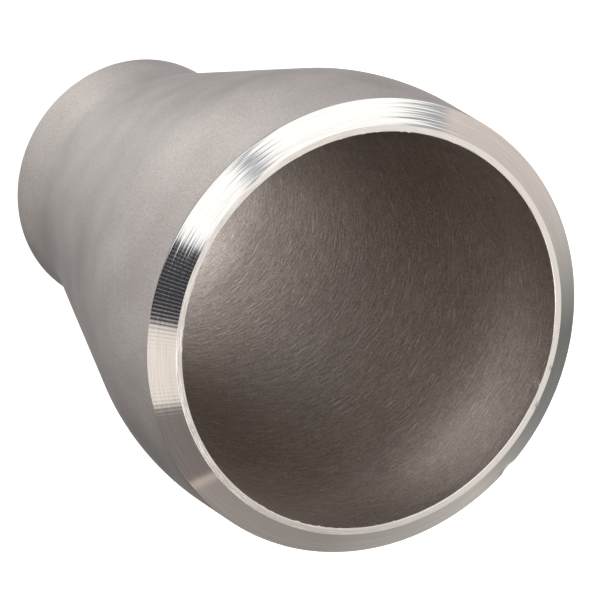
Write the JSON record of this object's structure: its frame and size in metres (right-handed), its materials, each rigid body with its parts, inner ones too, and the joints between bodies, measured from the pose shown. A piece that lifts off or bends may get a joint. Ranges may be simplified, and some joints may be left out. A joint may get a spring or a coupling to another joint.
{
  "type": "concentric pipe reducer",
  "caption": "Seamless butt-weld concentric reducer joining a larger pipe to a smaller one on one axis, with a bevelled weld end at each mouth.",
  "frame": {"origin": "centre of the small end's root face, on the axis; the part stands on this face", "axes": "+Z along the axis from the small end to the large mouth; X and Y are any two square directions, because the part is round"},
  "size_m": [0.0603, 0.0602, 0.076],
  "materials": {
    "stainless_steel": "blasted and pickled outside, brushed bore, bright turned weld bevels"
  },
  "bodies": {
    "root": {"reducer": "stainless_steel"}
  },
  "joints": []
}
